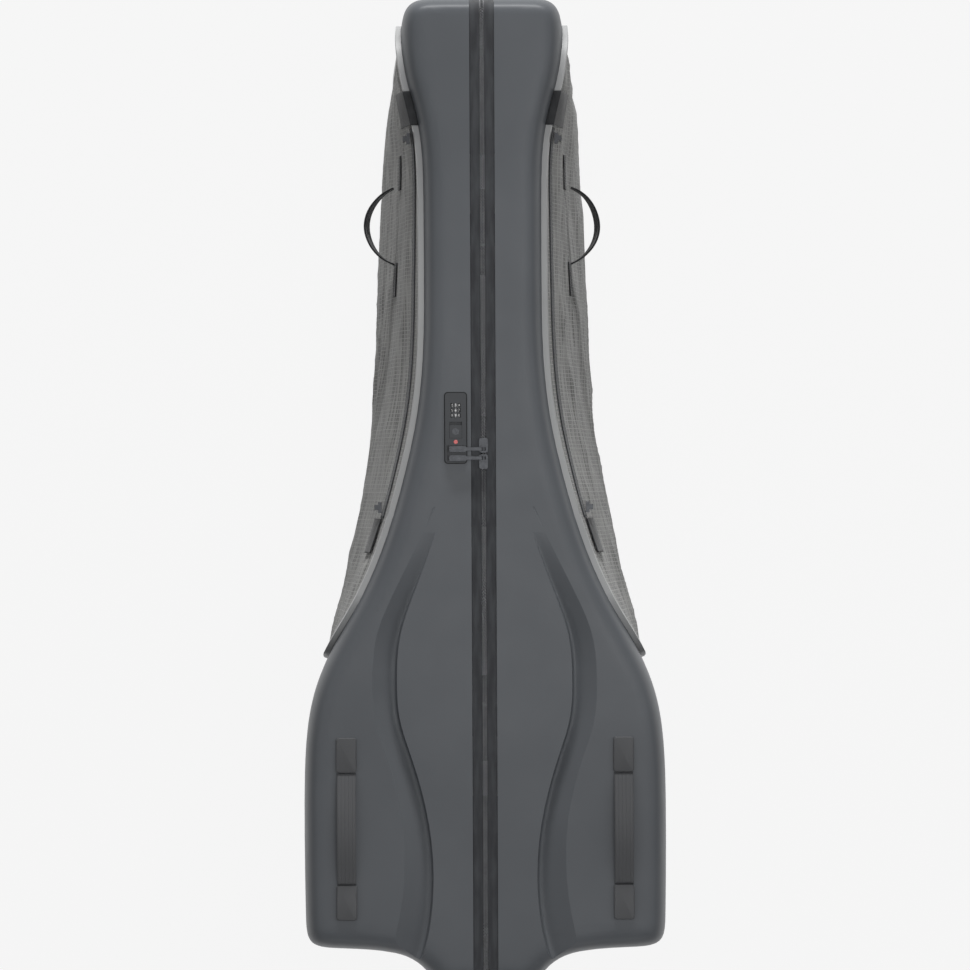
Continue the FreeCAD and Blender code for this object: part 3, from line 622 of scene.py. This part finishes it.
# %% Straps and their end caps
strap_wall, strap_seat = 3.4 * mm, 3.6 * mm
strap_columns, strap_rows = 60, 40
strap_grooves, groove_depth, groove_power = 5, 0.45 * mm, 6
rim_share, rim_drop = 0.08, 0.9 * mm
cap_length, cap_corner, cap_rim = 48 * mm, 4 * mm, 1.6 * mm


def upright_edges(build):
    """The edges of a bmesh that run up and down."""
    least_rise = 0.5 * mm
    return [edge for edge in build.edges if abs(edge.verts[0].co.z - edge.verts[1].co.z) > least_rise]


def strap(side):
    """One bowed strap with grooves along it."""
    name = side + "strap_handle"
    low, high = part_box(name)
    half, rise = (high.y - low.y) / 2, high.z - low.z - strap_seat
    radius = (half * half + rise * rise) / (2 * rise)
    middle_y = (low.y + high.y) / 2
    centre_z = high.z - radius

    def lay(across, along):
        y = -half + 2 * half * along
        z = centre_z + math.sqrt(radius * radius - y * y)
        groove = max(0.0, math.cos(math.tau * strap_grooves * across)) ** groove_power
        edge = smooth_step(min(across, 1 - across) / rim_share)
        drop = groove_depth * groove * edge + rim_drop * (1 - edge)
        x = low.x + across * (high.x - low.x)
        return Vector((x, middle_y + y, z - drop)), (x, y)

    build = laid_grid(strap_columns, strap_rows, lay, up_z)
    thing = piece(side + "strap", build, side + "half", "strap_rubber", strap_finish)
    thicken(thing, strap_wall)
    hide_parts(name)
    return thing


def strap_caps(side):
    """The two caps of one strap."""
    name = side + "strap_anchors"
    low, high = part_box(name)
    build = bmesh.new()
    for start in (low.y, high.y - cap_length):
        middle = Vector(((low.x + high.x) / 2, start + cap_length / 2, (low.z + high.z) / 2))
        add_block(build, middle, (high.x - low.x, cap_length, high.z - low.z))
    round_edges(build, upright_edges(build), cap_corner, segments=4)
    tops = [face for face in build.faces if face.normal.z > level_normal]
    rims = [edge for face in tops for edge in face.edges]
    round_edges(build, rims, cap_rim, segments=3)
    thing = piece(side + "strap_caps", build, side + "half", "strap_rubber", strap_finish)
    thing.data.set_sharp_from_angle(angle=sharp_angle)
    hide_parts(name)
    return thing


for side in sides:
    print(strap(side).name, strap_caps(side).name)

# %% [markdown]
# ## Webbing grips
#
# A loop of black webbing stands out from each side, and its ends are sewn down under patches. The loop is a
# strip laid on an arc that leaves the cloth almost square to it; a little noise keeps it from looking like
# wire. The patches lie on the CAD surface with a line of stitches round the edge and a cross in the middle.

# %% Loops, patches and their stitches
loop_wall, loop_slack, loop_stir, loop_lean = 2.2 * mm, 0.8 * mm, 1.6 * mm, 6 * mm
loop_columns, loop_rows = 8, 56
stir_bends, stir_seed = 3.1, 0.5
patch_length, patch_inset, patch_wall = 49 * mm, 0.4 * mm, 1.8 * mm
patch_columns, patch_rows = 24, 12
stitch_inset, stitch_width, stitch_height, stitch_lift = 3 * mm, 0.8 * mm, 0.7 * mm, 0.1 * mm
stitch_spacing, patch_stitch = 1.35, 2.8 * mm


def bead(build, middle, run, across, out, size):
    """Adds a small squeezed ball; size gives its lengths along, across and outwards."""
    axes = Matrix((run * size[0], across * size[1], out * size[2])).transposed().to_4x4()
    place = Matrix.Translation(middle) @ axes
    bmesh.ops.create_uvsphere(build, u_segments=6, v_segments=4, radius=0.5, matrix=place)


def webbing_loop(side, sign):
    """One webbing grip, on the arc of its CAD solid."""
    name = side + "carry_handle"
    low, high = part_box(name)
    width = high.z - low.z
    seat, tip = (low.x, high.x) if sign > 0 else (high.x, low.x)
    half = (high.y - low.y) / 2 - loop_wall
    bow = abs(tip - seat) - loop_slack
    radius = (half * half + bow * bow) / (2 * bow)
    sweep = math.atan2(half, radius - bow)
    middle_y = (low.y + high.y) / 2
    length = 2 * radius * sweep

    def lay(up, along):
        turn = sweep * (2 * along - 1)
        free = 1 - (2 * along - 1) ** 2
        wave = loop_stir * noise.noise(Vector((along * stir_bends, sign, stir_seed))) * free
        out = bow - radius + (radius - wave) * math.cos(turn)
        y = middle_y + (radius - wave) * math.sin(turn)
        lean = loop_lean * (up - 0.5) * free
        return Vector((seat + sign * (out + lean), y, low.z + up * width)), (up * width, along * length)

    build = laid_grid(loop_columns, loop_rows, lay, Vector((sign, 0, 0)))
    loop = piece(side + "webbing_loop", build, side + "grip", "webbing", webbing_finish)
    thicken(loop, loop_wall)
    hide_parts(name)
    return loop


def stitch_line(build, skin, sign, path, length):
    """Adds stitches along a path of places (y, z) on a surface at the side."""
    size = (length, stitch_width, stitch_height)
    for (y0, z0), (y1, z1) in zip(path, path[1:]):
        count = max(1, round(math.hypot(y1 - y0, z1 - z0) / (length * stitch_spacing)))
        for step in range(count):
            share = (step + 0.5) / count
            hit, normal = cast_side(skin, sign, y0 + share * (y1 - y0), z0 + share * (z1 - z0))
            if hit:
                run = Vector((0, y1 - y0, z1 - z0)).normalized()
                run = (run - normal * run.dot(normal)).normalized()
                bead(build, hit + normal * stitch_lift, run, normal.cross(run), normal, size)


def sewn_patches(side, sign):
    """The two patches under a grip, laid on their CAD solids."""
    name = side + "handle_patches"
    skin = cad_surface(name)
    low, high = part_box(name)
    width = high.z - low.z
    threads = bmesh.new()
    things = []
    for tag, start in (("front", low.y), ("rear", high.y - patch_length)):

        def lay(along, up):
            y = start + patch_inset + along * (patch_length - 2 * patch_inset)
            z = low.z + patch_inset + up * (width - 2 * patch_inset)
            return cast_side(skin, sign, y, z)[0], (up * width, along * patch_length)

        build = laid_grid(patch_columns, patch_rows, lay, Vector((sign, 0, 0)))
        patch = piece(side + tag + "_patch", build, side + "half", "webbing", webbing_finish)
        thicken(patch, patch_wall)
        things.append(patch)
        y0, y1 = start + stitch_inset, start + patch_length - stitch_inset
        z0, z1 = low.z + stitch_inset, high.z - stitch_inset
        border = [(y0, z0), (y1, z0), (y1, z1), (y0, z1), (y0, z0)]
        for path in (border, [(y0, z0), (y1, z1)], [(y0, z1), (y1, z0)]):
            stitch_line(threads, skin, sign, path, patch_stitch)
    thread = piece(side + "patch_stitches", threads, side + "half", "webbing", thread_finish)
    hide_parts(name)
    return things + [thread]


for side, sign in sides.items():
    loop = webbing_loop(side, sign)
    print(loop.name, [thing.name for thing in sewn_patches(side, sign)])

# %% [markdown]
# ## Pocket zips and their flaps
#
# A lighter zip runs along the top of each fabric side. Its tape is a strip laid on the cloth, with a line of
# stitches along each edge. Each end goes under a flap of coated cloth: the front one lies on the fabric, and
# the rear one also folds over the edge trim, so its grid runs up the side and then back over the top.

# %% Pocket zip tapes and flaps
pocket_inset, pocket_wall = 0.3 * mm, 1.2 * mm
pocket_columns, pocket_rows = 150, 8
pocket_stitch, pocket_seam = 3.6 * mm, 4.6 * mm
flap_reach, flap_wall = 48 * mm, 1.6 * mm
flap_columns, front_rows, rear_rows, climb_rows = 24, 18, 30, 24
front_height, front_puff = 34 * mm, 1.2 * mm
rear_height, rear_puff, rear_tuck, rear_round = 80 * mm, 1.6 * mm, 0.6 * mm, 1.2 * mm


def pocket_tape(side, sign):
    """The tape of one pocket zip, with its stitches."""
    name = side + "pocket_zip"
    skin = cad_surface(name)
    low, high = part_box(name)
    width = high.z - low.z

    def lay(along, up):
        y = low.y + pocket_inset + along * (high.y - low.y - 2 * pocket_inset)
        z = low.z + pocket_inset + up * (width - 2 * pocket_inset)
        return cast_side(skin, sign, y, z)[0], (up * width, y)

    build = laid_grid(pocket_columns, pocket_rows, lay, Vector((sign, 0, 0)))
    line = [lay(step / pocket_columns, 0.5)[0] for step in range(pocket_columns + 1)]
    tape = piece(side + "pocket_tape", build, side + "half", "zip_fabric", tape_finish)
    thicken(tape, pocket_wall)
    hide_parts(name)
    threads = bmesh.new()
    for seam in (pocket_seam, -pocket_seam):
        z = (low.z + high.z) / 2 + seam
        stitch_line(threads, skin, sign, [(low.y, z), (high.y, z)], pocket_stitch)
    piece(side + "pocket_stitches", threads, side + "half", "zip_fabric", thread_finish)
    return tape


def pocket_flaps(side, sign):
    """The front and rear flaps over the ends of one pocket zip."""
    name = side + "zip_garages"
    skin = cad_surface(name)
    shell = cad_surface(side + "shell")
    low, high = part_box(name)
    bottom, top = low.z + pocket_inset, high.z - pocket_inset

    def lay_front(along, up):
        y = low.y + pocket_inset + along * (flap_reach - 2 * pocket_inset)
        z = bottom + up * (front_height - 2 * pocket_inset)
        puff = front_puff * math.sin(math.pi * along) * math.sin(math.pi * up)
        return cast_side(skin, sign, y, z)[0] + Vector((sign * puff, 0, 0)), (up * front_height, y)

    def lay_rear(along, up):
        y = high.y - flap_reach + 2 * pocket_inset + along * (flap_reach - 3 * pocket_inset)
        row = round(up * rear_rows)
        climb = min(1, row / climb_rows)
        puff = rear_puff * math.sin(math.pi * along) * math.sin(math.pi * climb)
        hit = cast_side(skin, sign, y, bottom + (top - bottom) * climb)[0] + Vector((sign * puff, 0, 0))
        if row > climb_rows:
            back = (row - climb_rows) / (rear_rows - climb_rows)
            inner = cast_side(shell, sign, y, top)[0]
            hit = hit.lerp(Vector((inner.x + sign * rear_tuck, y, top)), back)
            hit.z -= rear_round * (1 - back) ** 3
        return hit, (up * rear_height, y)

    flaps = {"front": laid_grid(flap_columns, front_rows, lay_front, Vector((sign, 0, 0))),
             "rear": laid_grid(flap_columns, rear_rows, lay_rear, Vector((sign, 0, 1)))}
    things = []
    for tag, build in flaps.items():
        area = mesh_area(build)
        flap = piece(side + tag + "_zip_flap", build, side + "half", "webbing", flap_finish)
        thicken(flap, flap_wall)
        things.append(flap)
    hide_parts(name)
    return things


for side, sign in sides.items():
    print(pocket_tape(side, sign).name, [flap.name for flap in pocket_flaps(side, sign)])

# %% [markdown]
# ## Digits on the lock
#
# Each number wheel carries ten white digits. A text object gives the shape of a digit; it is made a mesh
# first, then moved to the rim of its wheel and turned with it, so the digits ride on the wheel and turn when
# it does.

# %% Number wheels
digit_height, digit_depth, digit_swell = 4.8 * mm, 0.06 * mm, 0.12 * mm
digit_count, wheel_shift = 10, 3


def digit_mesh(digit):
    """A flat digit as a mesh, centred, with a slight thickness."""
    words = bpy.data.curves.new("digit", "FONT")
    words.body = str(digit)
    words.size = digit_height
    words.align_x = "CENTER"
    words.align_y = "CENTER"
    words.extrude = digit_depth
    words.offset = digit_swell
    words.resolution_u = 2
    thing = bpy.data.objects.new("digit", words)
    mesh = bpy.data.meshes.new_from_object(thing)
    bpy.data.objects.remove(thing)
    bpy.data.curves.remove(words)
    return mesh


def wheel_digits(index):
    """The ten digits round one number wheel."""
    name = "lock_dial_%d" % index
    low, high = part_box(name)
    centre = (low + high) / 2
    radius = (high.z - low.z) / 2
    build = bmesh.new()
    for digit in range(digit_count):
        mesh = digit_mesh((digit + wheel_shift * index) % digit_count)
        first = len(build.verts)
        build.from_mesh(mesh)
        bpy.data.meshes.remove(mesh)
        build.verts.ensure_lookup_table()
        turn = Matrix.Rotation(math.tau * digit / digit_count, 4, "Y")
        place = Matrix.Translation(centre) @ turn @ Matrix.Translation((0, 0, radius))
        bmesh.ops.transform(build, matrix=place, verts=build.verts[first:])
    return piece(name + "_digits", build, name, "dial_plastic", digit_finish)


for index in (1, 2, 3):
    print(wheel_digits(index).name)

# %% [markdown]
# ## Painted shade round the lock
#
# The seam round the lock plate lies in shade. A thin black ring on the shell paints that shade as a dark line
# round the plate. A block gets its upright corners rounded by a bevel, its two large faces are inset and
# taken out, and the two open loops are bridged into a ring.

# %% Lock seam ring of painted shade
# Sizes of the black ring that paints the shade of the seam round the lock plate.
shade_ring_reach, shade_ring_ledge, shade_ring_corner = 1.3 * mm, 2.0 * mm, 5 * mm
shade_ring_height, shade_ring_middle = 1.0 * mm, 0.4 * mm


def lock_gasket():
    """A thin black ring on the shell round the lock plate: painted shade for the seam between them."""
    low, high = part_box("lock_case")
    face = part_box("left_shell")[1].z
    size = (high.x - low.x + 2 * shade_ring_reach, high.y - low.y + 2 * shade_ring_reach, shade_ring_height)
    build = bmesh.new()
    add_block(build, Vector(((low.x + high.x) / 2, (low.y + high.y) / 2, face + shade_ring_middle)), size)
    round_edges(build, upright_edges(build), shade_ring_corner, segments=5)
    lids = [f for f in build.faces if abs(f.normal.z) > level_normal]
    bmesh.ops.inset_individual(build, faces=lids, thickness=shade_ring_ledge)
    rims = [e for f in lids for e in f.edges]
    bmesh.ops.delete(build, geom=lids, context="FACES_ONLY")
    bmesh.ops.bridge_loops(build, edges=rims)
    bmesh.ops.recalc_face_normals(build, faces=build.faces)
    # Painted shade: black rubber drawn as a dark line where the seam round the lock plate lies in shade.
    ring = piece("lock_gasket", build, "left_half", "skid_rubber", skid_finish)
    ring.data.set_sharp_from_angle(angle=sharp_angle)
    return ring


print(lock_gasket().name)

# %% [markdown]
# ## The frame rest pad
#
# Inside the case a foam block carries the bicycle's bottom bracket. Its cloth cover pulls the corners in and
# crowns the faces, so a finely divided cube is drawn part of the way to a ball and kept inside the block. Its
# foot stays flat on the rail.

# %% Foam pad
pad_cuts, pad_ball, pad_draw = 15, 0.62, 0.16
foot_level, flat_slope = -0.49, 0.6


def rest_pad():
    """A crowned pad on the rail, inside its CAD solid."""
    low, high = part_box("frame_rest_pad")
    middle, size = (low + high) / 2, high - low
    build = bmesh.new()
    bmesh.ops.create_cube(build, size=1)
    bmesh.ops.subdivide_edges(build, edges=build.edges, cuts=pad_cuts, use_grid_fill=True)
    for vert in build.verts:
        crown = vert.co.lerp(vert.co.normalized() * pad_ball, pad_draw)
        if vert.co.z < foot_level:
            crown.z = -0.5
        crown = Vector([max(-0.5, min(0.5, c)) for c in crown])
        vert.co = middle + Vector([c * s for c, s in zip(crown, size)])
    cloth = build.loops.layers.uv.new("cloth")
    for face in build.faces:
        flat = abs(face.normal.z) > flat_slope
        for loop in face.loops:
            x, y, z = loop.vert.co
            loop[cloth].uv = (x, y) if flat else (x + y, z)
    pad = piece("rest_pad", build, "base", "pad_foam", foam_finish)
    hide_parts("frame_rest_pad")
    return pad


print(rest_pad().name)

# %% [markdown]
# ## Floor, background, light and camera
#
# The case is seen from straight above on a pale ground that is almost shadowless. The floor is grey paint,
# which throws little light back up at the case; most of what the camera sees of it is plain light, so it
# matches the background and still takes a faint shadow. A wide soft lamp stands in for a studio ceiling, with
# strips at the sides, a low lamp behind the narrow end and a weak fill lamp in front of the nose.

# %% Studio
ground_share, ambient_strength = 0.9, 0.12
floor_size = 12


def pale_ground(tree, share):
    """A share of plain background colour on the rays that see it directly, by mirror or through glass."""
    ray = add(tree, "LightPath").outputs
    seen = add(tree, "Math", {0: ray["Is Camera Ray"], 1: ray["Is Glossy Ray"]}, operation="MAXIMUM")
    seen = add(tree, "Math", {0: seen.outputs["Value"], 1: ray["Is Transmission Ray"]}, operation="MAXIMUM")
    return add(tree, "Math", {0: seen.outputs["Value"], 1: share}, operation="MULTIPLY").outputs["Value"]


floor_mesh = bpy.data.meshes.new("floor")
build = bmesh.new()
bmesh.ops.create_grid(build, x_segments=1, y_segments=1, size=floor_size)
build.to_mesh(floor_mesh)
build.free()
floor = bpy.data.objects.new("floor", floor_mesh)
bpy.context.scene.collection.objects.link(floor)
floor_paint = bpy.data.materials.new("pale_studio_paint")
floor_paint.use_nodes = True
tree = floor_paint.node_tree
tree.nodes.clear()
paint = add(tree, "BsdfDiffuse", {"Color": colour("#8c8c8c")}).outputs["BSDF"]
glow = add(tree, "Emission", {"Color": colour("#ffffff"), "Strength": 1.0}).outputs["Emission"]
ground = add(tree, "MixShader", {0: pale_ground(tree, ground_share), 1: paint, 2: glow})
add(tree, "OutputMaterial", {"Surface": ground.outputs["Shader"]})
floor_mesh.materials.append(floor_paint)

world = bpy.data.worlds.new("studio")
bpy.context.scene.world = world
world.use_nodes = True
tree = world.node_tree
tree.nodes.clear()
ambient = add(tree, "Background", {"Color": colour("#ffffff"), "Strength": ambient_strength})
backdrop = add(tree, "Background", {"Color": colour("#f8f8f8"), "Strength": 1.0})
layers = {1: ambient.outputs["Background"], 2: backdrop.outputs["Background"]}
sky = add(tree, "MixShader", {0: pale_ground(tree, 1.0), **layers})
add(tree, "OutputWorld", {"Surface": sky.outputs["Shader"]})

# Each lamp: its place, the place it is turned to, its width and length, and its power in watts.
case_middle, case_rear, case_front = (0, 0, 0.7), (0, 0.6, 0.7), (0, 0, 0.5)
lamps = {
    "ceiling": ((0.5, 0.1, 4.6), case_middle, (1.0, 1.6), 37),
    "left_strip": ((-2.2, 0, 3.0), case_middle, (0.2, 3.0), 10),
    "right_strip": ((2.2, 0, 3.0), case_middle, (0.2, 3.0), 16),
    "behind": ((0, 3.6, 1.5), case_rear, (1.6, 0.3), 120),
    "front_fill": ((0, -4.2, 1.6), case_front, (2.4, 1.0), 14),
}


def lamp(name, place, target, size, power):
    """A soft rectangular lamp at a place, turned to a target."""
    light = bpy.data.lights.new(name, "AREA")
    light.shape = "RECTANGLE"
    light.size, light.size_y = size
    light.energy = power
    thing = bpy.data.objects.new(name, light)
    bpy.context.scene.collection.objects.link(thing)
    aim = (Vector(target) - Vector(place)).to_track_quat("-Z", "Y")
    thing.matrix_world = Matrix.Translation(place) @ aim.to_matrix().to_4x4()


for name, values in lamps.items():
    lamp(name, *values)

camera_place, camera_lens, camera_roll = (0.0018, 0.0096, 6.8), 162.5, -0.27
camera = bpy.data.objects.new("camera", bpy.data.cameras.new("camera"))
bpy.context.scene.collection.objects.link(camera)
camera.data.lens = camera_lens
camera.location = camera_place
camera.rotation_euler = (0, 0, math.radians(camera_roll))
bpy.context.scene.camera = camera
bpy.context.scene.view_settings.view_transform = "Standard"
print("studio ready:", len(lamps), "lamps")
